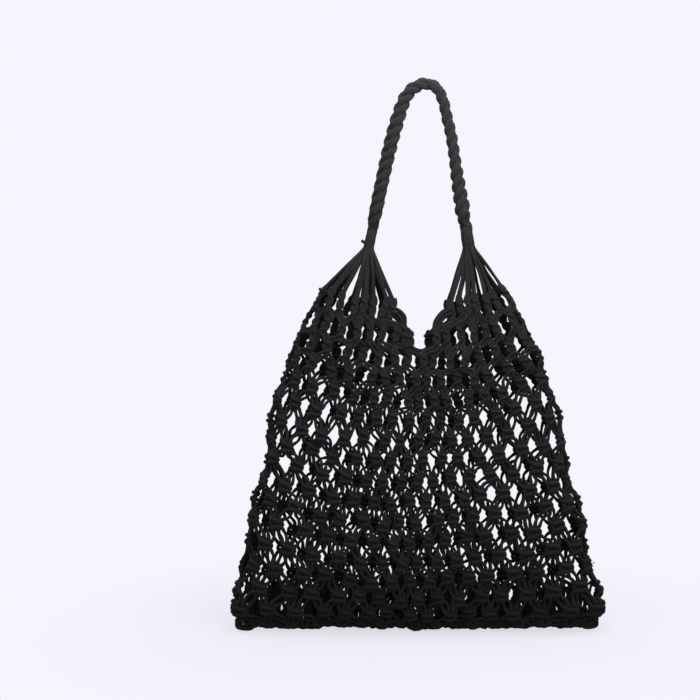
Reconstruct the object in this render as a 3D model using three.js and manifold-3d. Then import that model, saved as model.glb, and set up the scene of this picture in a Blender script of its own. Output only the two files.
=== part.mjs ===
// A shoulder bag knotted from cotton cord: a plaited handle, two fans of cord pairs,
// and a net of alternating square knots closed by a seam along the bottom.
// Millimetres, +Z up, front towards -Y. The origin is the underside of the handle's arch,
// where the bag hangs, and everything else is below it.
import * as THREE from 'three';
import { mergeVertices } from 'three/addons/utils/BufferGeometryUtils.js';
import Module from 'manifold-3d';

const wasm = await Module();
wasm.setup();

// Cord and clearances
const cordThickness = 3.6;
const pieceGap = 0.4;
const weldDistance = 0.001;
const cottonColour = 0x242425;
const cottonRoughness = 0.92;

// Handle: the middle line of the loop, from its left end over the arch to its right end
const handleRoute = [
  { x: -59, z: -167 },
  { x: -45, z: -98 },
  { x: -35, z: -55 },
  { x: -27.5, z: -29 },
  { x: -22, z: -12 },
  { x: -14, z: 0 },
  { x: 0, z: 6 },
  { x: 12.5, z: 1 },
  { x: 19, z: -12 },
  { x: 22.5, z: -29 },
  { x: 28.5, z: -55 },
  { x: 35, z: -98 },
  { x: 47, z: -167 },
];
const plait = {
  strands: 3,
  pitch: 36,
  swing: 5.2,
  weaveDepth: 3.2,
  strandHalfWidth: 4.9,
  strandHalfDepth: 2.9,
  coreRadius: 4.6,
  sides: 14,
  steps: 96,
};
const bundle = { halfWidth: 9.2, halfDepth: 5.8, length: 30, blend: 16 };

// Net: one line per row of knots, from the top edge to the bottom seam.
// level is the height at the middle of the front, sideLift how much higher the row is at the sides.
const bagCentreX = -10;
const netRows = [
  { level: -241, halfWidth: 99, halfDepth: 24, sideLift: 21, mouthShift: 0.5 },
  { level: -290, halfWidth: 127, halfDepth: 34, sideLift: 17, mouthShift: 0 },
  { level: -325, halfWidth: 143, halfDepth: 39, sideLift: 13, mouthShift: 0 },
  { level: -360, halfWidth: 153, halfDepth: 43, sideLift: 10, mouthShift: 0 },
  { level: -395, halfWidth: 159, halfDepth: 45.5, sideLift: 8, mouthShift: 0 },
  { level: -430, halfWidth: 168, halfDepth: 47, sideLift: 6, mouthShift: 0 },
  { level: -465, halfWidth: 175, halfDepth: 48, sideLift: 4, mouthShift: 0 },
  { level: -500, halfWidth: 184, halfDepth: 48, sideLift: 3, mouthShift: 0 },
  { level: -533, halfWidth: 192, halfDepth: 46, sideLift: 1, mouthShift: 0 },
  { level: -561, halfWidth: 199, halfDepth: 35, sideLift: 0, mouthShift: 0 },
  { level: -576, halfWidth: 188, halfDepth: 5, sideLift: 0, mouthShift: 0 },
];
const knotsAround = 14;
const halfColumn = 0.5;
const knot = { halfWidth: 8, halfHeight: 6.5, thickness: 8.5 };
const legWidth = 8;
const legShare = 0.3;
const seam = { halfHeight: 4.2, halfDepth: 6.5, bump: 0.15, sides: 8, stepsPerKnot: 2 };
// Steps, in columns and rows, over which the net's direction and its spacing are taken
const slopeStep = 0.05;
const pitchStep = 0.25;

// Fans: pairs of cords from each end of the handle to the top row of knots
const fan = {
  startWidth: 4.4,
  startThickness: 3,
  endWidth: 7.2,
  straight: 14,
  knotGap: 0.6,
  sides: 8,
  steps: 5,
};
const fanRing = { halfX: 4.1, halfY: 7.6 };

// Trimmed cord ends along the inside of the seam
const cordEnds = { locks: 26, halfLength: 172, height: 50, dip: 6, unevenness: 2.4, thickness: 5 };

const cotton = new THREE.MeshStandardMaterial({
  color: cottonColour,
  roughness: cottonRoughness,
  metalness: 0,
});

const bag = new THREE.Group();

function addPiece(name, geometry) {
  const mesh = new THREE.Mesh(geometry, cotton.clone());
  mesh.name = name;
  bag.add(mesh);
}

function weld(geometry) {
  geometry.deleteAttribute('normal');
  geometry.deleteAttribute('uv');
  return mergeVertices(geometry, weldDistance);
}

function toSolid(geometry) {
  const welded = weld(geometry);
  const mesh = new wasm.Mesh({
    numProp: 3,
    vertProperties: new Float32Array(welded.attributes.position.array),
    triVerts: new Uint32Array(welded.index.array),
  });
  return new wasm.Manifold(mesh);
}

function toGeometry(solid) {
  const mesh = solid.getMesh();
  const geometry = new THREE.BufferGeometry();
  geometry.setAttribute('position', new THREE.BufferAttribute(mesh.vertProperties, 3));
  geometry.setIndex(new THREE.BufferAttribute(mesh.triVerts, 1));
  return geometry;
}

// Moves every vertex of a geometry by a function of its position
function shapeBy(geometry, place) {
  const position = geometry.attributes.position;
  const vertex = new THREE.Vector3();
  for (let i = 0; i < position.count; i += 1) {
    vertex.fromBufferAttribute(position, i);
    const placed = place(vertex);
    position.setXYZ(i, placed.x, placed.y, placed.z);
  }
  return geometry;
}

// A closed rod: place(along, angle, reach) gives the point of the skin at a share of the length,
// an angle about the middle line, and 1 on the skin or 0 on the middle line.
function rod(sides, steps, place) {
  const geometry = new THREE.CylinderGeometry(1, 1, 1, sides, steps);
  const skin = (vertex) => {
    const reach = Math.hypot(vertex.x, vertex.z);
    return place(0.5 - vertex.y, Math.atan2(vertex.x, vertex.z), Math.min(reach, 1));
  };
  return shapeBy(geometry, skin);
}

// How far a ray from the middle of the plait goes before it leaves a strand
function rayThroughStrand(across, deep, centreAcross, centreDeep) {
  const ax = across / plait.strandHalfWidth;
  const ay = deep / plait.strandHalfDepth;
  const cx = centreAcross / plait.strandHalfWidth;
  const cy = centreDeep / plait.strandHalfDepth;
  const a = ax * ax + ay * ay;
  const b = ax * cx + ay * cy;
  const c = cx * cx + cy * cy - 1;
  const root = b * b - a * c;
  return root > 0 ? (b + Math.sqrt(root)) / a : 0;
}

function plaitRadius(length, angle) {
  let radius = plait.coreRadius;
  for (let strand = 0; strand < plait.strands; strand += 1) {
    const phase = 2 * Math.PI * (length / plait.pitch + strand / plait.strands);
    const across = plait.swing * Math.sin(phase);
    const deep = plait.weaveDepth * Math.sin(2 * phase);
    radius = Math.max(radius, rayThroughStrand(Math.sin(angle), Math.cos(angle), across, deep));
  }
  return radius;
}

function bundleRadius(angle) {
  return 1 / Math.hypot(Math.sin(angle) / bundle.halfWidth, Math.cos(angle) / bundle.halfDepth);
}

const handleCurve = new THREE.CatmullRomCurve3(
  handleRoute.map((point) => new THREE.Vector3(point.x, 0, point.z)),
);

function handlePlace(along, angle, reach) {
  const total = handleCurve.getLength();
  const centre = handleCurve.getPointAt(along);
  const tangent = handleCurve.getTangentAt(along);
  const outward = new THREE.Vector3(-tangent.z, 0, tangent.x);
  const fromEnd = Math.min(along, 1 - along) * total;
  const woven = THREE.MathUtils.smoothstep(fromEnd, bundle.length - bundle.blend, bundle.length);
  const radius = THREE.MathUtils.lerp(bundleRadius(angle), plaitRadius(along * total, angle), woven);
  centre.addScaledVector(outward, reach * radius * Math.cos(angle));
  centre.y += reach * radius * Math.sin(angle);
  return centre;
}

// Values of the net at any row number, counted from the top row
function rowAt(row) {
  const last = netRows.length - 1;
  const low = Math.min(Math.max(Math.floor(row), 0), last - 1);
  const share = row - low;
  const mix = (name) => THREE.MathUtils.lerp(netRows[low][name], netRows[low + 1][name], share);
  return {
    level: mix('level'),
    halfWidth: mix('halfWidth'),
    halfDepth: mix('halfDepth'),
    sideLift: mix('sideLift'),
    mouthShift: mix('mouthShift'),
  };
}

function outlineAt(row) {
  const values = rowAt(row);
  const startAngle = -Math.PI / 2;
  return new THREE.EllipseCurve(
    0, 0, values.halfWidth, Math.max(values.halfDepth, 1), startAngle, startAngle + 2 * Math.PI,
  );
}

// The middle of the net's wall. column counts knots around the bag from the middle of the front.
function netMiddle(column, row) {
  const values = rowAt(row);
  const half = knotsAround / 2;
  const turns = column / half;
  const inWing = (turns - Math.floor(turns)) * half;
  const spread = (half / 2 - inWing) / (half / 2 - halfColumn);
  const shifted = column + values.mouthShift * spread;
  const share = (shifted / knotsAround) % 1;
  const point = outlineAt(row).getPointAt(share < 0 ? share + 1 : share);
  const sideways = point.x / values.halfWidth;
  const z = values.level + values.sideLift * sideways * sideways;
  return new THREE.Vector3(bagCentreX + point.x, point.y, z);
}

function netNormal(column, row) {
  const top = Math.max(row - slopeStep, 0);
  const bottom = Math.min(row + slopeStep, netRows.length - 1);
  const around = netMiddle(column + slopeStep, row).sub(netMiddle(column - slopeStep, row));
  const down = netMiddle(column, bottom).sub(netMiddle(column, top));
  return down.cross(around).normalize();
}

function netPoint(column, row, offset) {
  return netMiddle(column, row).addScaledVector(netNormal(column, row), offset);
}

// Millimetres per column and per row at a row of the net
function netPitch(row) {
  const lowest = netRows.length - 1;
  const middle = Math.min(Math.max(row, pitchStep), lowest - pitchStep);
  const step = netMiddle(0, middle + pitchStep).distanceTo(netMiddle(0, middle - pitchStep));
  return { around: outlineAt(row).getLength() / knotsAround, down: step / (2 * pitchStep) };
}

// The two corners where a leg is met halfway by the leg of the next knot, in columns and rows upward
function legEnd(column, row, toRight, toDown) {
  const middleRow = row + toDown / 2;
  const pitch = netPitch(middleRow);
  const leg = new THREE.Vector2(toRight * pitch.around / 2, -toDown * pitch.down);
  const left = new THREE.Vector2(-leg.y, leg.x).multiplyScalar(legWidth / 2 / leg.length());
  const offset = new THREE.Vector2(left.x / pitch.around, left.y / pitch.down);
  const middle = new THREE.Vector2(column + toRight / 4, -middleRow);
  return [middle.clone().sub(offset), middle.clone().add(offset)];
}

// Whether a triangle closes off a leg where the next knot's leg carries on
function closesLeg(triangle, column, row) {
  const right = Math.sign(triangle[0].x - column);
  const up = Math.sign(triangle[0].y + row);
  const onLeg = (vertex) => (vertex.x - column) * right > 0 && (vertex.y + row) * up > legShare;
  return triangle.every(onLeg);
}

// The triangle corners of one knot with its four half legs,
// thick at the knot and as thin as a cord where the legs meet the next ones
function netCell(column, row) {
  const pitch = netPitch(row);
  const across = knot.halfWidth / pitch.around;
  const upward = knot.halfHeight / pitch.down;
  const corner = (x, y) => new THREE.Vector2(column + x, -row + y);
  const hasUpper = row > 0;
  const hasLower = row < netRows.length - 1;
  const points = [corner(across, 0)];
  if (hasUpper) points.push(...legEnd(column, row, 1, -1));
  points.push(corner(0, upward));
  if (hasUpper) points.push(...legEnd(column, row, -1, -1));
  points.push(corner(-across, 0));
  if (hasLower) points.push(...legEnd(column, row, -1, 1));
  points.push(corner(0, -upward));
  if (hasLower) points.push(...legEnd(column, row, 1, 1));
  const flat = new THREE.ExtrudeGeometry(new THREE.Shape(points), { depth: 1, bevelEnabled: false });
  const place = (vertex) => {
    const onLeg = Math.abs(vertex.y + row) > legShare;
    const thickness = onLeg ? cordThickness : knot.thickness;
    return netPoint(vertex.x, -vertex.y, (vertex.z - 0.5) * thickness);
  };
  const corners = [];
  for (let i = 0; i < flat.attributes.position.count; i += 3) {
    const vertexAt = (k) => new THREE.Vector3().fromBufferAttribute(flat.attributes.position, i + k);
    const triangle = [vertexAt(0), vertexAt(1), vertexAt(2)];
    if (!closesLeg(triangle, column, row)) corners.push(...triangle.map(place));
  }
  return corners;
}

function seamPlace(along, angle, reach) {
  const knotty = 1 + seam.bump * Math.cos(2 * Math.PI * knotsAround * along);
  const lowest = netRows[netRows.length - 1];
  return new THREE.Vector3(
    bagCentreX + (2 * along - 1) * lowest.halfWidth,
    reach * seam.halfDepth * Math.sin(angle),
    lowest.level + reach * knotty * seam.halfHeight * Math.cos(angle),
  );
}

function buildNet() {
  const corners = [];
  netRows.forEach((_, row) => {
    const firstColumn = row % 2 === 0 ? halfColumn : 0;
    for (let i = 0; i < knotsAround; i += 1) {
      corners.push(...netCell(firstColumn + i, row));
    }
  });
  const open = toSolid(new THREE.BufferGeometry().setFromPoints(corners));
  const closing = toSolid(rod(seam.sides, seam.stepsPerKnot * knotsAround, seamPlace));
  return weld(toGeometry(open.add(closing)));
}

// A pair of cords from the ring below one end of the handle down to a knot of the top row.
// side is 1 on the right and -1 on the left, column the knot's place around the bag.
function fanPair(side, column) {
  const pairsPerFan = knotsAround / 2;
  const outerColumn = side > 0 ? pairsPerFan / 2 : pairsPerFan * 1.5;
  const down = handleCurve.getTangentAt(side > 0 ? 1 : 0).multiplyScalar(side);
  const end = handleCurve.getPointAt(side > 0 ? 1 : 0);
  const outward = new THREE.Vector3(-down.z, 0, down.x).multiplyScalar(side);
  const ring = new THREE.EllipseCurve(0, 0, fanRing.halfX, fanRing.halfY);
  const share = ((column - outerColumn) / pairsPerFan + 1) % 1;
  const place = ring.getPointAt(share);
  const turn = ring.getTangentAt(share);
  const depthAxis = new THREE.Vector3(0, side, 0);
  const inRing = (point) => outward.clone().multiplyScalar(point.x).addScaledVector(depthAxis, point.y);
  const start = end.clone().add(inRing(place)).addScaledVector(down, pieceGap);
  const bend = start.clone().addScaledVector(down, fan.straight);
  const above = (knot.halfHeight + fan.knotGap) / netPitch(0).down;
  const finish = netMiddle(column, -above);
  const route = new THREE.QuadraticBezierCurve3(start, bend, finish);
  const startAcross = inRing(turn);
  const startOut = down.clone().cross(startAcross);
  const finishOut = netNormal(column, 0);
  const finishRight = netMiddle(column + slopeStep, 0);
  const finishAcross = finishRight.sub(netMiddle(column - slopeStep, 0)).normalize();
  const skin = (along, angle, reach) => {
    const width = THREE.MathUtils.lerp(fan.startWidth, fan.endWidth, along);
    const thickness = THREE.MathUtils.lerp(fan.startThickness, cordThickness, along);
    const across = startAcross.clone().lerp(finishAcross, along);
    const out = startOut.clone().lerp(finishOut, along);
    const point = route.getPoint(along);
    point.addScaledVector(across, reach * Math.sin(angle) * width / 2);
    return point.addScaledVector(out, reach * Math.cos(angle) * thickness / 2);
  };
  return weld(rod(fan.sides, fan.steps, skin));
}

// A strip of cord ends side by side, each cut to its own length, standing on the seam inside the bag
function buildCordEnds() {
  const lockWidth = 2 * cordEnds.halfLength / cordEnds.locks;
  const outline = new THREE.Shape();
  outline.moveTo(cordEnds.halfLength, 0);
  for (let lock = cordEnds.locks - 1; lock >= 0; lock -= 1) {
    const left = lock * lockWidth - cordEnds.halfLength;
    const top = cordEnds.height - cordEnds.dip * Math.abs(Math.sin(lock * cordEnds.unevenness));
    outline.lineTo(left + lockWidth, top - cordEnds.dip);
    outline.lineTo(left + lockWidth / 2, top);
  }
  outline.lineTo(-cordEnds.halfLength, cordEnds.height - 2 * cordEnds.dip);
  outline.lineTo(-cordEnds.halfLength, 0);
  const strip = new THREE.ExtrudeGeometry(outline, { depth: cordEnds.thickness, bevelEnabled: false });
  strip.rotateX(Math.PI / 2);
  const seamTop = netRows[netRows.length - 1].level + (1 + seam.bump) * seam.halfHeight;
  strip.translate(bagCentreX, cordEnds.thickness / 2, seamTop + pieceGap);
  return weld(strip);
}

addPiece('handle', weld(rod(plait.sides, plait.steps, handlePlace)));
addPiece('net', buildNet());
addPiece('cord_ends', buildCordEnds());
for (let i = 0; i < knotsAround / 2; i += 1) {
  addPiece(`fan_right_${i + 1}`, fanPair(1, i + halfColumn));
  addPiece(`fan_left_${i + 1}`, fanPair(-1, i + halfColumn + knotsAround / 2));
}

export default bag;
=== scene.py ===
import bmesh
import bpy
import math
import numpy as np
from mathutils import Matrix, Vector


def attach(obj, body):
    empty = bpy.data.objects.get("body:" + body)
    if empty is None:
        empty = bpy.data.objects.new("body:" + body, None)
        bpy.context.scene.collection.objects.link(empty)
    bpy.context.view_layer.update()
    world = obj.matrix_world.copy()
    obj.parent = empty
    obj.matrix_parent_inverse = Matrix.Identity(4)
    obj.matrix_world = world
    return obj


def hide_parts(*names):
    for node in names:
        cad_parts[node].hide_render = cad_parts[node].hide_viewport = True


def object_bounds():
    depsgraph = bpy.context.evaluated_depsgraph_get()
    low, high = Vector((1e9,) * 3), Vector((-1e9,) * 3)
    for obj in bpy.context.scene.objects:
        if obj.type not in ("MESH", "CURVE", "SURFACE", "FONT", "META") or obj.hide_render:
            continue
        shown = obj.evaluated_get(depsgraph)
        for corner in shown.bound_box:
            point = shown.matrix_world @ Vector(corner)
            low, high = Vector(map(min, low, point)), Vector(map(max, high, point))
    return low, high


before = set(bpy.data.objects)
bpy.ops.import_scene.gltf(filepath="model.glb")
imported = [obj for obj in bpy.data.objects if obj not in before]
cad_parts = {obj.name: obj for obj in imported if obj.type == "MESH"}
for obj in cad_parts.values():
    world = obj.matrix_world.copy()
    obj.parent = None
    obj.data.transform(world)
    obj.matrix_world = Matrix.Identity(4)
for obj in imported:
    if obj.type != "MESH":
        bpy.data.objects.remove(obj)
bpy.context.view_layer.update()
chance = np.random.default_rng(11)
print("frame loaded with", len(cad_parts), "solids")

# All sizes are in metres. The front of the bag faces -Y, and the origin is where it hangs.
cord = {
    "thickness": 0.0031,  # where nothing else is said
    "inKnot": 0.0041,     # squashed wider in a knot
    "inPlait": 0.0050,    # soft and pressed together in the plait
    "onLeg": 0.0029,      # pulled thin between two knots
    "onTopLeg": 0.0041,   # but not at the top of the net
    "roundness": 2,       # bevel steps, which give eight sides
    "pointStep": 0.0019,  # spacing of the points along a cord
    "fineSteps": 12,      # steps from one given point to the next, before they are made even
    "thinThick": 0.05,    # share by which the thickness wanders
    "wanderStep": 9,      # in that many points
    "mergeWithin": 1e-7,  # joins the end caps to the cords
    "sharpAngle": 70,     # in degrees: the cut ends stay flat
}


# A smooth line through a few points, cut into even steps
# The fourth value of a point, where it has one, is the thickness there
def smoothLine(points, step=cord["pointStep"]):
    points = np.asarray(points, float)
    gaps = np.sqrt(np.linalg.norm(np.diff(points[:, :3], axis=0), axis=1))
    places = np.concatenate([[0], np.cumsum(gaps)])
    slopes = np.gradient(points, places, axis=0)
    s = np.linspace(0, 1, cord["fineSteps"], endpoint=False)[None, :, None]
    h = gaps[:, None, None]
    starts, ends = points[:-1, None], points[1:, None]
    startSlopes, endSlopes = slopes[:-1, None], slopes[1:, None]
    fine = (2 * s**3 - 3 * s**2 + 1) * starts + (s**3 - 2 * s**2 + s) * h * startSlopes
    fine = fine + (3 * s**2 - 2 * s**3) * ends + (s**3 - s**2) * h * endSlopes
    fine = np.vstack([fine.reshape(-1, points.shape[1]), points[-1]])
    run = np.concatenate([[0], np.cumsum(np.linalg.norm(np.diff(fine[:, :3], axis=0), axis=1))])
    even = np.linspace(0, run[-1], max(3, round(run[-1] / step) + 1))
    return np.stack([np.interp(even, run, values) for values in fine.T], axis=1)


def withThickness(points, thickness):
    return np.column_stack([points, np.full(len(points), thickness)])


def lengthOf(line):
    return np.linalg.norm(np.diff(line[:, :3], axis=0), axis=1).sum()


# One mesh of many round cords, with a map that runs in metres along each cord and once around it
def cordPiece(name, lines):
    curve = bpy.data.curves.new(name, "CURVE")
    curve.dimensions = "3D"
    curve.bevel_depth = cord["thickness"] / 2
    curve.bevel_resolution = cord["roundness"]
    curve.use_fill_caps = True
    for line in lines:
        spline = curve.splines.new("POLY")
        spline.points.add(len(line) - 1)
        spline.points.foreach_set("co", np.column_stack([line[:, :3], np.ones(len(line))]).ravel())
        marks = np.arange(0, len(line) + cord["wanderStep"], cord["wanderStep"])
        wander = np.interp(np.arange(len(line)), marks, chance.uniform(-1, 1, len(marks)))
        wide = line[:, 3] / cord["thickness"] if line.shape[1] > 3 else 1
        spline.points.foreach_set("radius", wide * (1 + cord["thinThick"] * wander))
    drawn = bpy.data.objects.new(name + "Line", curve)
    bpy.context.scene.collection.objects.link(drawn)
    mesh = bpy.data.meshes.new_from_object(drawn.evaluated_get(bpy.context.evaluated_depsgraph_get()))
    mesh.name = name
    bpy.data.objects.remove(drawn)
    scaleMap(mesh, lines)
    body = bmesh.new()
    body.from_mesh(mesh)
    bmesh.ops.remove_doubles(body, verts=body.verts, dist=cord["mergeWithin"])
    body.to_mesh(mesh)
    body.free()
    mesh.shade_smooth()
    mesh.set_sharp_from_angle(angle=math.radians(cord["sharpAngle"]))
    piece = bpy.data.objects.new(name, mesh)
    bpy.context.scene.collection.objects.link(piece)
    print(name, len(lines), "cords,", sum(len(p.vertices) - 2 for p in mesh.polygons), "triangles")
    return piece


# The map of a bevelled curve goes from 0 to 1 along each cord
def scaleMap(mesh, lines):
    sides = 4 + 2 * cord["roundness"]
    corners = [(len(line) - 1) * sides * 4 for line in lines]
    lengths = np.repeat([lengthOf(line) for line in lines], corners)
    layer = mesh.uv_layers[0]
    values = np.empty(len(mesh.loops) * 2, np.float32)
    layer.data.foreach_get("uv", values)
    values = values.reshape(-1, 2)
    values[-len(lengths):, 0] *= lengths
    layer.data.foreach_set("uv", values.ravel())
    layer.name = "cordMap"


# Handle: a plait of three strands with a straight bundle at each end
handle = {
    "route": [
        (-0.059, -0.167), (-0.045, -0.098), (-0.035, -0.055), (-0.0275, -0.029), (-0.0215, -0.013),
        (-0.0135, -0.0025), (0.0, 0.003), (0.0120, -0.0015), (0.0185, -0.013), (0.0225, -0.029),
        (0.0285, -0.055), (0.035, -0.098), (0.047, -0.167),
    ],
    "step": 0.002,        # spacing of the points along it
    "pitch": 0.036,       # length in which a strand comes back to its side
    "swing": 0.0052,      # how far a strand goes to either side, along Y
    "weaveDepth": 0.0032,  # and how far it goes out and in to pass the others
    "twist": 0.42,        # how far the right end of the plait is turned about its run, in radians
    # How full the plait is along its run, from the left end to the right end
    "fullness": [
        (0.0, 1.0), (0.1, 1.05), (0.35, 1.05), (0.5, 0.76), (0.56, 0.67), (0.75, 0.67), (0.9, 0.97),
    ],
    "strandCords": (10, 10, 10),
    "strandLayers": 2,
    "strandHalfWidth": 0.0041,  # from the middle of a strand to its outer cords
    "strandHalfDepth": 0.0014,
    "bundleLength": 0.036,
    "bundleBlend": 0.030,  # length in which the bundle goes over into the plait
    "bundleHalfX": {-1: 0.0042, 1: 0.0054},  # on the left and on the right
    "bundleHalfY": 0.0076,
    "bundleReach": (1.0, 0.5, 0.85, 0.3),  # how far from the middle of a bundle its cords lie, in turn
}
cordsInHandle = sum(handle["strandCords"])

handleLine = smoothLine([(x, 0, z) for x, z in handle["route"]], handle["step"])
handleTangents = np.gradient(handleLine, axis=0)
handleTangents /= np.linalg.norm(handleTangents, axis=1)[:, None]
handleOutward = np.column_stack([-handleTangents[:, 2], np.zeros(len(handleLine)), handleTangents[:, 0]])
handleRun = np.linspace(0, lengthOf(handleLine), len(handleLine))
sideways = np.array([0.0, 1.0, 0.0])
fullness = np.interp(handleRun / handleRun[-1], *zip(*handle["fullness"]))
twists = (handle["twist"] * handleRun / handleRun[-1])[:, None]
plaitSide = np.cos(twists) * sideways + np.sin(twists) * handleOutward
plaitOut = np.cos(twists) * handleOutward - np.sin(twists) * sideways


def plaitedCord(strand, across, deep):
    phase = 2 * np.pi * (handleRun / handle["pitch"] + strand / len(handle["strandCords"]))
    turn = 2 * np.pi / handle["pitch"]
    swing, depth = handle["swing"] * fullness, handle["weaveDepth"] * fullness
    centre = handleLine + (swing * np.sin(phase))[:, None] * plaitSide
    centre = centre + (depth * np.sin(2 * phase))[:, None] * plaitOut
    run = handleTangents + (swing * turn * np.cos(phase))[:, None] * plaitSide
    run = run + (2 * depth * turn * np.cos(2 * phase))[:, None] * plaitOut
    run /= np.linalg.norm(run, axis=1)[:, None]
    face = plaitOut - np.sum(plaitOut * run, axis=1)[:, None] * run
    face /= np.linalg.norm(face, axis=1)[:, None]
    return centre + fullness[:, None] * (across * np.cross(run, face) + deep * face)


# Places in a bundle are numbered from the side of the mouth
# On the right they go round by the front, on the left by the back
def bundledLine(place, side):
    angle = 2 * np.pi * (place + 0.5) / cordsInHandle
    reach = handle["bundleReach"][place % len(handle["bundleReach"])]
    outward = -handle["bundleHalfX"][side] * reach * math.cos(angle)
    back = -side * handle["bundleHalfY"] * reach * math.sin(angle)
    return handleLine + outward * handleOutward + back * sideways


# The cords take those places in the order in which they lie around the plait's end
def bundleOrder(cords, side):
    at = int(np.argmin(abs(handleRun - handle["bundleLength"])))
    at = at if side < 0 else len(handleRun) - 1 - at
    offsets = np.array([line[at] for line in cords]) - handleLine[at]
    angles = np.arctan2(-side * offsets[:, 1], -offsets @ handleOutward[at]) % (2 * np.pi)
    places = np.empty(len(cords), int)
    places[np.argsort(angles)] = np.arange(len(cords))
    return places


# The cords of a strand lie in layers
def plaitedStrand(strand, count):
    layers = np.linspace(-1, 1, handle["strandLayers"]) * handle["strandHalfDepth"]
    lines = []
    for layer, inLayer in zip(layers, np.array_split(np.arange(count), len(layers))):
        for across in np.linspace(-1, 1, len(inLayer)) * handle["strandHalfWidth"]:
            lines.append(plaitedCord(strand, across, layer))
    return lines


def buildHandle():
    woven = []
    for strand, count in enumerate(handle["strandCords"]):
        woven += plaitedStrand(strand, count)
    leftPlaces, rightPlaces = bundleOrder(woven, -1), bundleOrder(woven, 1)
    total = handleRun[-1]
    straight = handle["bundleLength"] - handle["bundleBlend"]
    lines = []
    for cordLine, leftPlace, rightPlace in zip(woven, leftPlaces, rightPlaces):
        left = np.clip((handleRun - straight) / handle["bundleBlend"], 0, 1)[:, None]
        right = np.clip((total - handleRun - straight) / handle["bundleBlend"], 0, 1)[:, None]
        left, right = left**2 * (3 - 2 * left), right**2 * (3 - 2 * right)
        line = cordLine * left + bundledLine(leftPlace, -1) * (1 - left)
        line = line * right + bundledLine(rightPlace, 1) * (1 - right)
        thickness = cord["thickness"] + (cord["inPlait"] - cord["thickness"]) * left * right
        lines.append(np.hstack([line, thickness]))
    return cordPiece("plaitedHandle", lines)


# Loose ends that were not trimmed away: the piece they belong to, root, tip and thickness
looseEnds = [
    ("fanLeft", (-0.0605, -0.003, -0.1680), (-0.0668, -0.006, -0.1630), 0.0034),
    ("netFrontLeft", (-0.1085, -0.004, -0.2205), (-0.1125, -0.007, -0.2135), 0.0032),
    ("netFrontRight", (0.1760, -0.006, -0.5160), (0.1850, -0.012, -0.5100), 0.0008),
    ("netFrontRight", (0.1755, -0.006, -0.5150), (0.1840, -0.010, -0.5145), 0.0007),
    ("netFrontRight", (0.1765, -0.006, -0.5170), (0.1845, -0.014, -0.5185), 0.0007),
    ("netFrontRight", (0.1760, -0.006, -0.5155), (0.1825, -0.013, -0.5075), 0.0006),
]
looseBend = 1 / 3  # how far their middles are off the straight line, in thicknesses


def looseLines(name):
    lines = []
    for owner, root, tip, thickness in looseEnds:
        if owner == name:
            bend = (np.array(root) + np.array(tip)) / 2 + chance.normal(0, looseBend * thickness, 3)
            lines.append(smoothLine(withThickness([root, bend, tip], thickness)))
    return lines


# Net: alternating square knots of four cords each
net = {
    "knotSize": 0.0041,   # unit of the tables below
    "centreX": -0.010,
    "lean": 0.004,        # how far the bottom is to the right of that
    "mouthShift": 0.0055,  # how far the mouth is to the right of that
    "mouthDeep": 4,       # down to this step of the wall
    "blunt": 3.0,         # 2 would make the wall an ellipse at every height, more makes its sides blunter
    "outlinePoints": 241,  # for measuring the way round
    "heightPoints": 60,   # for measuring the way down
    "knotsAround": 32,
    "gather": 0.20,       # how much closer together they are in the middle of the front and of the back
    "columnWidth": 0.0265,  # of knots that are as wide as in the tables
    "narrowest": 0.52,
    "widest": 1.10,
    "squeeze": 0.45,      # how much thinner their cords are where the columns are narrow
    "skewTurn": 0.10,     # how much more the knots are off the middle on the left, and less on the right
    "skewDeep": 2,        # near the mouth they are less so, down to this step of the wall
    "drift": 0.08,        # slow shifts of the knots to the sides, in columns
    "driftWaves": (0.9, 1.0, 0.5),  # how these shifts change on the way down
    "sag": 0.08,          # and downwards, in steps of the wall
    "sagWaves": (0.6, 0.4),
    "rows": 15,           # rows of knots below the top one, with the seam below the last
    "rowCrowding": -0.03,  # above 0 they lie closer together towards the bottom, below 0 towards the top
    "mouthRow": 2,        # the first row that goes all the way round
    "mouthShare": 0.055,  # how far the mouth pushes the top knots aside, as a share of the way round
    "mouthFade": 1.4,     # how soon that gets less below the top
    "tautRows": 5,        # rows at the top whose knots are pulled narrow and flat
    "tautShape": (0.80, 1.75, 0.50),  # their size across, down and out
    "growth": 0.08,       # below them the knots grow by this share in as many rows
    "wander": 0.0028,     # how far a knot can be off its place
    "tilt": 0.12,         # how far it is turned, in radians
    "seamLoose": 0.8,     # share of both at the seam
    "seamUneven": 0.3,    # how far the cords along the seam go up and down, in knot sizes
    "eye": 0.0038,        # gap between the two cords of a leg, which is closed at the top of the net
    "eyeFull": 0.45,      # share of the rows in which it opens
    "eyeUneven": 0.6,
    "nearby": (0.01, 0.2),  # how far to look along and down the wall for the directions of a knot
}
# The wall from the top edge to the seam: height at the middle, half width, half depth, lift at the sides,
# how far the knots are off the middle, in columns, and how much lower the back hangs, for its distance
netWall = {
    "level": [-0.241, -0.290, -0.325, -0.360, -0.395, -0.430, -0.465, -0.500, -0.533, -0.562, -0.5815],
    "halfWidth": [0.101, 0.124, 0.137, 0.150, 0.157, 0.163, 0.174, 0.181, 0.189, 0.204, 0.192],
    "halfDepth": [0.024, 0.034, 0.039, 0.043, 0.0455, 0.047, 0.047, 0.044, 0.036, 0.023, 0.006],
    "sideLift": [0.020, 0.026, 0.028, 0.028, 0.027, 0.026, 0.025, 0.022, 0.016, 0.006, 0.0],
    "skew": [0.20, 0.19, 0.12, 0.02, 0.01, 0.05, 0.10, 0.12, 0.12, 0.09, 0.0],
    "dip": [0.13, 0.13, 0.14, 0.16, 0.17, 0.17, 0.18, 0.19, 0.20, 0.20, 0.20],
}
wallRows = len(netWall["level"]) - 1

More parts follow.
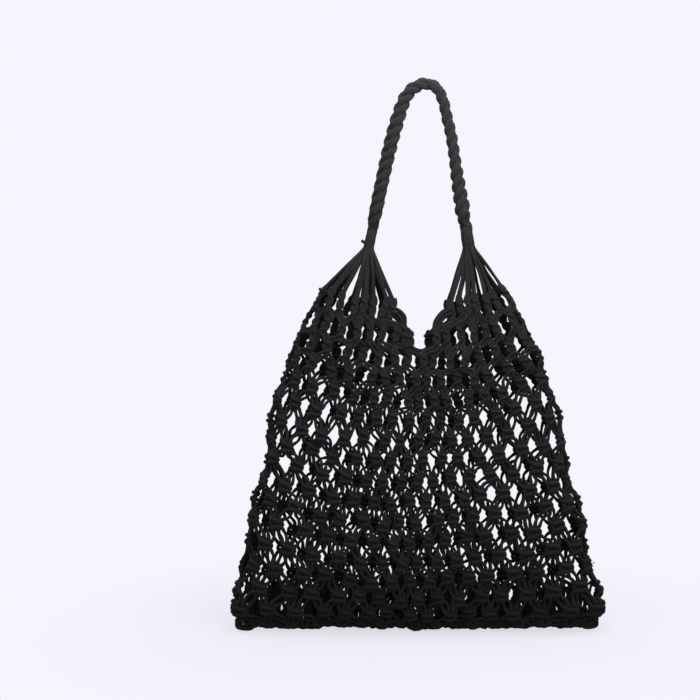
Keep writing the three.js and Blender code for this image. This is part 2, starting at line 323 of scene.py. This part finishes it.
# A square knot seen from outside: across, down and out
frontWorker = [
    (-1.45, -1.14, 0.0), (-0.95, -0.88, 0.42), (0.05, -0.74, 0.64), (0.95, -0.58, 0.48),
    (1.32, -0.22, 0.15), (1.38, 0.08, -0.08), (1.32, 0.38, 0.15), (0.95, 0.68, 0.48),
    (-0.05, 0.82, 0.64), (-0.95, 0.94, 0.42), (-1.45, 1.18, 0.0),
]
backWorker = [
    (1.45, -1.14, 0.0), (1.15, -0.88, -0.08), (0.35, -0.72, -0.60), (-0.65, -0.56, -0.60),
    (-1.26, -0.24, -0.12), (-1.38, 0.08, 0.20), (-1.26, 0.40, -0.12), (-0.65, 0.70, -0.60),
    (0.35, 0.84, -0.60), (1.15, 0.96, -0.08), (1.45, 1.18, 0.0),
]
leftFiller = [(-0.55, -1.80, 0.0), (-0.40, 0.0, 0.0), (-0.55, 1.80, 0.0)]
rightFiller = [(0.55, -1.80, 0.0), (0.40, 0.0, 0.0), (0.55, 1.80, 0.0)]
knotRoles = [frontWorker, leftFiller, rightFiller, backWorker]
workerArch = [(0.0, -2.15, -0.55), (1.0, -1.75, -0.30)]  # above a top knot, for the worker on the right
# Two cords from a top knot along the edge of the mouth, where the mouth is on the right of that knot
roundArch = [
    [(0.0, -1.15, 0.65), (1.7, -1.05, 0.35), (3.7, 0.10, 0.10), (4.7, 2.60, 0.0)],
    [(0.0, -0.12, 0.67), (1.5, -0.05, 0.35), (3.2, 0.90, 0.12), (4.0, 2.90, 0.0)],
]
straightArch = [
    [(0.0, -1.15, 0.65), (1.8, -0.60, 0.35), (4.0, 1.40, 0.10), (5.4, 4.40, 0.0)],
    [(0.0, -0.12, 0.67), (1.5, 0.35, 0.35), (3.4, 2.10, 0.12), (4.7, 5.00, 0.0)],
]
# At the seam the workers cross and run on towards the next knot, and every cord turns inside
seamWorker = [(-1.45, -1.30, 0.0), (-0.75, -0.70, 0.50), (0.5, -0.15, 0.50)]
seamFiller = [(-0.55, -1.60, 0.0), (-0.42, -0.60, 0.10), (-0.42, -0.25, -0.40), (-0.42, -1.10, -0.75)]
seamRun = [(0.30, 0.0), (0.52, 0.0), (0.60, 0.7), (0.62, 1.6)]  # share of the way there, and rise


def wallValue(name, row):
    values = np.array(netWall[name])
    low = min(int(max(row, 0)), wallRows - 1)
    s = row - low
    slopes = np.gradient(values)
    start = (2 * s**3 - 3 * s**2 + 1) * values[low] + (s**3 - 2 * s**2 + s) * slopes[low]
    return start + (3 * s**2 - 2 * s**3) * values[low + 1] + (s**3 - s**2) * slopes[low + 1]


# The share is the way round, from the middle of the front towards +X
def wallPoint(share, row):
    halfWidth, halfDepth = wallValue("halfWidth", row), wallValue("halfDepth", row)
    angles = np.linspace(0, 2 * np.pi, net["outlinePoints"])
    sines, cosines = np.sin(angles), np.cos(angles)
    x = halfWidth * np.sign(sines) * abs(sines) ** (2 / net["blunt"])
    y = -halfDepth * np.sign(cosines) * abs(cosines) ** (2 / net["blunt"])
    run = np.concatenate([[0], np.cumsum(np.hypot(np.diff(x), np.diff(y)))])
    at = share % 1 * run[-1]
    x, y = np.interp(at, run, x), np.interp(at, run, y)
    inward = 1 - (x / halfWidth) ** 2
    z = wallValue("level", row) + wallValue("sideLift", row) * (1 - inward)
    z = z - wallValue("dip", row) * (y + halfDepth)
    x = x + net["lean"] * (row / wallRows) ** 2
    x = x + net["mouthShift"] * inward * max(1 - row / net["mouthDeep"], 0)
    return np.array([net["centreX"] + x, y, z])


# The way down the middle of the front, for even rows
frontDepths = np.linspace(1, wallRows, net["heightPoints"])
frontRun = np.array([wallPoint(0, depth) for depth in frontDepths])
frontRun = np.concatenate([[0], np.cumsum(np.linalg.norm(np.diff(frontRun, axis=0), axis=1))])
frontRun = frontRun / frontRun[-1]


def wallRow(row):
    if row < net["mouthRow"]:
        return row / net["mouthRow"]
    down = (row - net["mouthRow"]) / (net["rows"] + 1 - net["mouthRow"])
    return np.interp(down + net["rowCrowding"] * down * (1 - down), frontRun, frontDepths)


# Where a column of knots meets a height of the wall
def wallPlace(column, depth):
    wing = column % (net["knotsAround"] / 2) / (net["knotsAround"] / 2)
    pushed = net["mouthShare"] * (1 - 2 * wing) * max(1 - depth, 0) ** net["mouthFade"]
    angle = 2 * math.pi * column / net["knotsAround"]
    atMouth = max(1 - depth / net["skewDeep"], 0) * (1 - math.sin(math.pi * wing))
    skew = wallValue("skew", depth) - net["skewTurn"] * math.sin(angle)
    skew = skew * (1 - atMouth) * min(wallRows - depth, 1)
    loose = math.sin(math.pi * depth / wallRows)
    rise, start, turn = net["driftWaves"]
    drift = net["drift"] * loose * math.sin(2 * angle + rise * depth + start)
    drift = drift * math.cos(angle - turn * depth)
    rise, start = net["sagWaves"]
    sag = net["sag"] * loose * math.sin(3 * angle - rise * depth + start)
    even = (column + skew + drift) / net["knotsAround"]
    gathered = even - net["gather"] * math.sin(4 * math.pi * even) / (4 * math.pi)
    return gathered + pushed, depth + sag


def unit(vector):
    return vector / np.linalg.norm(vector)


# The place of a knot and its directions across, down and out
def knotFrame(column, row):
    depth = wallRow(row)
    share, height = wallPlace(column, depth)
    along, below = net["nearby"]
    across = unit(wallPoint(share + along, height) - wallPoint(share - along, height))
    low, high = max(depth - below, 0), min(depth + below, wallRows)
    down = wallPoint(*wallPlace(column, high)) - wallPoint(*wallPlace(column, low))
    out = unit(np.cross(down, across))
    down = np.cross(across, out)
    loose = net["seamLoose"] if row > net["rows"] else 1
    turn = chance.normal(0, net["tilt"]) * loose
    shift = chance.uniform(-1, 1, 3) * net["wander"] * loose
    axes = np.array([
        across * math.cos(turn) + down * math.sin(turn),
        down * math.cos(turn) - across * math.sin(turn),
        out,
    ])
    taut = max(1 - row / net["tautRows"], 0)
    grown = net["growth"] * max(row / net["tautRows"] - 1, 0)
    shape = 1 + taut * (np.array(net["tautShape"]) - 1) + grown
    sides = [wallPoint(*wallPlace(column + step, depth)) for step in (-0.5, 0.5)]
    width = np.linalg.norm(sides[1] - sides[0]) / net["columnWidth"]
    width = np.clip(width, net["narrowest"], net["widest"])
    shape[0] *= width
    return {
        "at": wallPoint(share, height) + shift @ axes,
        "plain": axes,
        "axes": axes * shape[:, None],
        "thickness": 1 + grown - net["squeeze"] * max(1 - width, 0) * min(row / net["tautRows"], 1),
    }


def onKnot(knot, points):
    return knot["at"] + net["knotSize"] * np.array(points) @ knot["axes"]


def mirrored(points, side):
    return [(side * across, down, out) for across, down, out in points]


# Four neighbouring cords share a knot, and the next row takes two from each of two knots
def knotOf(strand, row):
    shifted = strand + 2 if row % 2 == 0 else strand
    column = shifted // 4 + (0 if row % 2 == 0 else 0.5)
    return column % net["knotsAround"], shifted % 4


def isMouth(column, row):
    return row == 0 and column % (net["knotsAround"] / 2) == 0


def makeKnots():
    knots = {}
    for row in range(net["rows"] + 2):
        for step in range(net["knotsAround"]):
            column = step + (0 if row % 2 == 0 else 0.5)
            if not isMouth(column, row):
                knots[row, column] = knotFrame(column, row)
    return knots


# Halfway along a leg its two cords bow apart: workers above, fillers below
def legMiddle(start, end, role, row):
    run = end["at"] - start["at"]
    out = start["axes"][2] + end["axes"][2]
    upward = unit(np.cross(run, out))
    upward = upward * np.sign(-upward @ start["axes"][1])
    share = min(row / net["rows"] / net["eyeFull"], 1)
    thickness = (cord["onTopLeg"] + (cord["onLeg"] - cord["onTopLeg"]) * share) * start["thickness"]
    eye = net["eye"] * share * chance.uniform(1 - net["eyeUneven"], 1 + net["eyeUneven"])
    apart = (thickness + eye) / 2
    side = 1 if role in (0, 3) else -1
    return withThickness([(start["at"] + end["at"]) / 2 + side * apart * upward], thickness)


# The mouth is on the left of a knot whose first two cords begin there
def mouthArch(column, role, knots):
    side = -1 if role < 2 else 1
    top = knots[0, (column - side * 0.5) % net["knotsAround"]]
    arch = straightArch if top["at"][0] > net["centreX"] else roundArch
    points = mirrored(arch[0 if role in (0, 3) else 1], side)
    return top["at"] + net["knotSize"] * np.array(points) @ top["plain"]


def seamEnd(knot, role, beyond):
    side = -1 if role < 2 else 1
    if role in (1, 2):
        return onKnot(knot, mirrored(seamFiller, -side))
    rise = -net["knotSize"] * knot["axes"][1]
    step = beyond["at"] - knot["at"]
    run = []
    for share, up in seamRun:
        run.append(knot["at"] + share * step + (up + chance.normal(0, net["seamUneven"])) * rise)
    return np.vstack([onKnot(knot, mirrored(seamWorker, -side)), run])


def strandLine(strand, knots):
    parts = []
    for row in range(net["rows"] + 2):
        column, role = knotOf(strand, row)
        if isMouth(column, row):
            continue
        knot = knots[row, column]
        side = -1 if role < 2 else 1
        if row == 0 and role in (0, 3):
            parts.append(withThickness(onKnot(knot, mirrored(workerArch, side)), cord["inKnot"]))
        if row == 1 and not parts:
            parts.append(withThickness(mouthArch(column, role, knots), cord["inKnot"]))
        if row > net["rows"]:
            end = seamEnd(knot, role, knots[row, (column - side) % net["knotsAround"]])
            parts.append(withThickness(end, cord["inKnot"]))
        else:
            parts.append(withThickness(onKnot(knot, knotRoles[role]), cord["inKnot"] * knot["thickness"]))
            below = knots[row + 1, knotOf(strand, row + 1)[0]]
            parts.append(legMiddle(knot, below, role, row))
    return smoothLine(np.vstack(parts))


def buildNet(knots):
    quarters = ["netFrontRight", "netBackRight", "netBackLeft", "netFrontLeft"]
    strandsInQuarter = net["knotsAround"]  # four cords to a knot, in four quarters
    pieces = []
    for number, name in enumerate(quarters):
        first = number * strandsInQuarter
        lines = [strandLine(strand, knots) for strand in range(first, first + strandsInQuarter)]
        pieces.append(cordPiece(name, lines + looseLines(name)))
    return pieces


# Fans: the cords of a bundle go down in pairs, to be the fillers of the top knots
fan = {
    "straight": 0.003,   # how far a cord keeps the bundle's direction
    "sway": 0.0008,      # how far its middle is off the straight line
    "thickness": {-1: 0.0037, 1: 0.0031},  # on the left and on the right
    "neckAbove": 1.2,    # where it goes into its knot, above the middle of the knot, in knot sizes
    "neckSide": 0.9,     # and to its side, as a share of the filler's place
    "apart": 0.0036,     # between the two cords at the side of the bag
}


def fanLine(place, side, knots):
    end = 0 if side < 0 else -1
    half = net["knotsAround"] // 2
    column = place // 2 + 1 + (half if side < 0 else 0)
    knot = knots[0, column]
    filler = knotRoles[1 + place % 2]
    start = bundledLine(place, side)[end]
    down = side * handleTangents[end]
    straight = start + fan["straight"] * down
    neck, foot = onKnot(knot, [(fan["neckSide"] * filler[0][0], -fan["neckAbove"], 0), filler[1]])
    middle = (straight + neck) / 2 + chance.normal(0, fan["sway"], 3)
    if 2 * column % half == 0:  # right at the side of the bag
        inward = unit(np.cross((0, side, 0), neck - straight))
        middle, neck = (point + place % 2 * fan["apart"] * inward for point in (middle, neck))
    thickness = fan["thickness"][side]
    thicknesses = [cord["thickness"], cord["thickness"], thickness, thickness, thickness]
    return smoothLine(np.column_stack([[start, straight, middle, neck, foot], thicknesses]))


def buildFan(name, side, knots):
    lines = [fanLine(place, side, knots) for place in range(cordsInHandle)]
    return cordPiece(name, lines + looseLines(name))


# Cord ends: trimmed, standing along the inside of the seam
cordEnds = {
    "count": 240,
    "halfLength": 0.190,
    "foot": -0.5815,
    "height": 0.051,
    "uneven": 0.006,      # how much shorter an end can be
    "lean": 0.006,        # how far its tip is off to a side
    "layer": 0.0020,      # how far it is from the middle, to the front and to the back in turn
    "bow": (0.0, 0.3, 0.7, 1.0),     # share of the lean at four heights
    "spread": (1.0, 1.0, 1.3, 1.6),  # and how far apart the two layers are there
}


def buildCordEnds():
    lines = []
    middle = net["centreX"] + net["lean"]
    for end in range(cordEnds["count"]):
        x = middle + cordEnds["halfLength"] * (2 * (end + 0.5) / cordEnds["count"] - 1)
        y = cordEnds["layer"] * (-1) ** end
        top = cordEnds["foot"] + cordEnds["height"] - abs(chance.normal(0, cordEnds["uneven"]))
        lean, bend = chance.normal(0, cordEnds["lean"], 2)
        leans = np.array(cordEnds["bow"]) * (lean, lean, bend, lean)
        heights = np.linspace(cordEnds["foot"], top, len(leans))
        lines.append(smoothLine(np.column_stack([x + leans, y * np.array(cordEnds["spread"]), heights])))
    return cordPiece("cordEnds", lines)


# Cotton: black, dry and soft, with twisted plies and loose fibres
cotton = {
    "shade": (0.012, 0.012, 0.0122, 1),
    "bloomAndPaintedLight": (0.035, 0.035, 0.0356, 1),  # the paler colour of rubbed fibres, also used for painted light on the plies and the handle
    "plies": 3,
    "plyTurn": 0.0105,    # length of cord in one turn of its plies
    "plyDepth": 0.0004,
    "plyStrength": 0.7,
    "fibreAlong": 700,
    "fibreAround": 14,
    "fibreDetail": 3.0,
    "fibreHeight": 0.5,   # against the plies
    "patchScale": 22,
    "patchDetail": 2.0,
    "paintedGrooveShade": 0.28,     # how much the plies, the fibres and the patches show the paler colour; on the plies this is painted shade in the grooves between them
    "fibreBloom": 0.32,
    "patchBloom": 0.32,
    "bloomLess": 0.08,
    "paintedLight": 0.70,         # painted light: how much paler the handle is made, from one height to the other, for the brighter light it gets
    "paintedLightFrom": -0.24,
    "paintedLightTo": -0.13,
    "roughness": 0.86,
    "roughFibre": 0.12,
    "gloss": 0.25,
    "sheen": 0.10,
    "sheenRoughness": 0.45,
    "sheenTint": (0.55, 0.55, 0.60, 1),
}


class Wire:
    def __init__(self, tree, socket=None):
        self.tree = tree
        self.socket = socket

    def node(self, kind, settings, sockets, out=0):
        made = self.tree.nodes.new(kind)
        for name, value in settings.items():
            setattr(made, name, value)
        for name, value in sockets.items():
            if isinstance(value, Wire):
                self.tree.links.new(value.socket, made.inputs[name])
            else:
                made.inputs[name].default_value = value
        return Wire(self.tree, made.outputs[out] if len(made.outputs) else None)

    def maths(self, operation, first, second=0.0):
        return self.node("ShaderNodeMath", {"operation": operation}, {0: first, 1: second})

    def __add__(self, other):
        return self.maths("ADD", self, other)

    def __radd__(self, other):
        return self.maths("ADD", other, self)

    def __sub__(self, other):
        return self.maths("SUBTRACT", self, other)

    def __rsub__(self, other):
        return self.maths("SUBTRACT", other, self)

    def __mul__(self, other):
        return self.maths("MULTIPLY", self, other)

    def __rmul__(self, other):
        return self.maths("MULTIPLY", other, self)

    def sine(self):
        return self.maths("SINE", self)

    def size(self):
        return self.maths("ABSOLUTE", self)


def newMaterial(name):
    material = bpy.data.materials.new(name)
    material.use_nodes = True
    material.node_tree.nodes.clear()
    return material, Wire(material.node_tree)


def cottonMaterial():
    material, paint = newMaterial("blackCotton")
    place = paint.node("ShaderNodeUVMap", {"uv_map": "cordMap"}, {})
    along = paint.node("ShaderNodeSeparateXYZ", {}, {"Vector": place}, "X")
    around = paint.node("ShaderNodeSeparateXYZ", {}, {"Vector": place}, "Y")
    spot = paint.node("ShaderNodeTexCoord", {}, {}, "Object")
    turn = around + along * (1 / cotton["plyTurn"])
    ply = (turn * (math.pi * cotton["plies"])).sine().size()  # 0 in the grooves, 1 on the plies: it shapes the bump and paints shade into the grooves
    fibrePlace = paint.node("ShaderNodeCombineXYZ", {}, {
        "X": along * cotton["fibreAlong"],
        "Y": turn * cotton["fibreAround"],
    })
    fibre = paint.node("ShaderNodeTexNoise", {}, {
        "Vector": fibrePlace, "Scale": 1.0, "Detail": cotton["fibreDetail"],
    })
    patch = paint.node("ShaderNodeTexNoise", {}, {
        "Vector": spot, "Scale": cotton["patchScale"], "Detail": cotton["patchDetail"],
    })
    height = paint.node("ShaderNodeSeparateXYZ", {}, {"Vector": spot}, "Z")
    # Painted light: the cords are made paler towards the top, where the handle gets more light
    paintedLight = paint.node("ShaderNodeMapRange", {"interpolation_type": "SMOOTHSTEP"}, {
        "Value": height, "From Min": cotton["paintedLightFrom"], "From Max": cotton["paintedLightTo"],
    })
    # The fibres and patches give the cotton's own paler tone; the plies and the height add painted shade
    # and painted light
    bloomAndPaintedLight = ply * cotton["paintedGrooveShade"] + fibre * cotton["fibreBloom"] + patch * cotton["patchBloom"]
    bloomAndPaintedLight = bloomAndPaintedLight + paintedLight * cotton["paintedLight"] - cotton["bloomLess"]
    colour = paint.node("ShaderNodeMix", {"data_type": "RGBA"}, {
        "Factor": bloomAndPaintedLight, 6: cotton["shade"], 7: cotton["bloomAndPaintedLight"],
    }, 2)
    bump = paint.node("ShaderNodeBump", {}, {
        "Height": ply + fibre * cotton["fibreHeight"],
        "Strength": cotton["plyStrength"],
        "Distance": cotton["plyDepth"],
    })
    skin = paint.node("ShaderNodeBsdfPrincipled", {}, {
        "Base Color": colour,
        "Roughness": cotton["roughness"] + fibre * cotton["roughFibre"],
        "Specular IOR Level": cotton["gloss"],
        "Sheen Weight": cotton["sheen"],
        "Sheen Roughness": cotton["sheenRoughness"],
        "Sheen Tint": cotton["sheenTint"],
        "Normal": bump,
    })
    paint.node("ShaderNodeOutputMaterial", {}, {"Surface": skin})
    return material


# Studio: a pale floor that fades into the backdrop's colour, soft lights and the camera
studio = {
    "backdrop": (0.922, 0.905, 0.974, 1),
    "skyLight": 0.45,     # light from all round, as a share of the backdrop's own brightness
    "floorColour": (0.325, 0.319, 0.343, 1),
    "floorGlow": 0.74,    # share of the backdrop's brightness that the floor near the bag has without light
    "floorRoughness": 0.9,
    "floorGrain": 0.08,
    "grainScale": 3.0,
    "grainDetail": 2.0,
    "floorReach": 1.7,
    "floorSides": 64,
    "floorNear": 0.20,    # from here on the floor takes on the backdrop's own brightness
    "floorSolid": 0.45,   # and from here on it fades away
    "floorFade": 1.1,
    "dark": (0, 0, 0, 1),
    # Place, size and power of each light
    "lights": {
        "keyLight": ((0.05, -1.10, 0.25), 0.8, 2.5),
        "topLight": ((0.05, -0.10, 0.60), 0.6, 0.8),
        "fillLight": ((1.2, -1.0, 0.2), 0.9, 1.2),
        "handleLight": ((0.06, -0.24, 0.16), 0.30, 1.0),
    },
    "litHeight": -0.35,   # they point at the middle of the net
    "cameraAway": 2.0,
    "cameraLift": 6,      # degrees above level
    "lens": 95.7,
    "aim": (-0.0796, 0.0, -0.2806),
}


def floorMaterial():
    material, paint = newMaterial("paleFloor")
    spot = paint.node("ShaderNodeTexCoord", {}, {}, "Object")
    away = paint.node("ShaderNodeVectorMath", {"operation": "LENGTH"}, {"Vector": spot}, "Value")
    grain = paint.node("ShaderNodeTexNoise", {}, {
        "Vector": spot, "Scale": studio["grainScale"], "Detail": studio["grainDetail"],
    })
    fade = paint.node("ShaderNodeMapRange", {"interpolation_type": "SMOOTHSTEP"}, {
        "Value": away, "From Min": studio["floorSolid"], "From Max": studio["floorFade"],
    })
    far = paint.node("ShaderNodeMapRange", {"interpolation_type": "SMOOTHSTEP"}, {
        "Value": away, "From Min": studio["floorNear"], "From Max": studio["floorSolid"],
    })
    seen = paint.node("ShaderNodeLightPath", {}, {}, "Is Camera Ray")
    glow = seen * (far * (1 - studio["floorGlow"]) + studio["floorGlow"])
    glowColour = paint.node("ShaderNodeMix", {"data_type": "RGBA"}, {
        "Factor": glow, 6: studio["dark"], 7: studio["backdrop"],
    }, 2)
    colour = paint.node("ShaderNodeMix", {"data_type": "RGBA"}, {
        "Factor": far, 6: studio["floorColour"], 7: studio["dark"],
    }, 2)
    paper = paint.node("ShaderNodeBsdfPrincipled", {}, {
        "Base Color": colour,
        "Roughness": studio["floorRoughness"] + grain * studio["floorGrain"],
        "Specular IOR Level": 0.0,
        "Emission Color": glowColour,
        "Emission Strength": 1.0,
    })
    clear = paint.node("ShaderNodeBsdfTransparent", {}, {})
    mix = paint.node("ShaderNodeMixShader", {}, {"Fac": fade, 1: paper, 2: clear})
    paint.node("ShaderNodeOutputMaterial", {}, {"Surface": mix})
    return material


def addFloor(level):
    sheet = bmesh.new()
    reach, sides = studio["floorReach"], studio["floorSides"]
    bmesh.ops.create_circle(sheet, cap_ends=True, radius=reach, segments=sides)
    mesh = bpy.data.meshes.new("floor")
    sheet.to_mesh(mesh)
    sheet.free()
    floor = bpy.data.objects.new("floor", mesh)
    floor.location = (net["centreX"], 0, level)
    mesh.materials.append(floorMaterial())
    bpy.context.scene.collection.objects.link(floor)


def aimAt(thing, target):
    direction = np.array(target) - np.array(thing.location)
    level = math.hypot(direction[0], direction[1])
    thing.rotation_euler = (math.pi / 2 + math.atan2(direction[2], level), 0,
                            math.atan2(direction[1], direction[0]) - math.pi / 2)


def addLight(name, place, size, power):
    light = bpy.data.lights.new(name, "AREA")
    light.size = size
    light.energy = power
    lamp = bpy.data.objects.new(name, light)
    lamp.location = place
    aimAt(lamp, (net["centreX"], 0, studio["litHeight"]))
    bpy.context.scene.collection.objects.link(lamp)


# The backdrop is seen at its own brightness, and lights the bag less than that
def addBackdrop():
    world = bpy.data.worlds.new("studio")
    world.use_nodes = True
    world.node_tree.nodes.clear()
    paint = Wire(world.node_tree)
    seen = paint.node("ShaderNodeLightPath", {}, {}, "Is Camera Ray")
    sky = paint.node("ShaderNodeBackground", {}, {
        "Color": studio["backdrop"], "Strength": seen * (1 - studio["skyLight"]) + studio["skyLight"],
    })
    paint.node("ShaderNodeOutputWorld", {}, {"Surface": sky})
    bpy.context.scene.world = world


def addStudio(level):
    addFloor(level)
    addBackdrop()
    for name, (place, size, power) in studio["lights"].items():
        addLight(name, place, size, power)
    camera = bpy.data.cameras.new("camera")
    camera.lens = studio["lens"]
    view = bpy.data.objects.new("camera", camera)
    lift = math.radians(studio["cameraLift"])
    aim = np.array(studio["aim"])
    view.location = aim + studio["cameraAway"] * np.array([0, -math.cos(lift), math.sin(lift)])
    aimAt(view, aim)
    bpy.context.scene.collection.objects.link(view)
    bpy.context.scene.camera = view
    bpy.context.scene.view_settings.view_transform = "Standard"


knots = makeKnots()
print("knots placed:", len(knots))
solidPairs = range(1, 8)  # the solids of a fan are seven thicker pairs
fanNodes = {side: [f"fan_{side}_{pair}" for pair in solidPairs] for side in ("left", "right")}
standsFor = [(buildHandle(), ["handle"])]
standsFor += [(piece, ["net"]) for piece in buildNet(knots)]
standsFor.append((buildFan("fanLeft", -1, knots), fanNodes["left"]))
standsFor.append((buildFan("fanRight", 1, knots), fanNodes["right"]))
standsFor.append((buildCordEnds(), ["cord_ends"]))

blackCotton = cottonMaterial()
for piece, nodes in standsFor:
    piece.data.materials.clear()
    piece.data.materials.append(blackCotton)
    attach(piece, "root")
    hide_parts(*nodes)
print("cotton cords dressed")

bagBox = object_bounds()
addStudio(bagBox[0][2])
print("studio set")
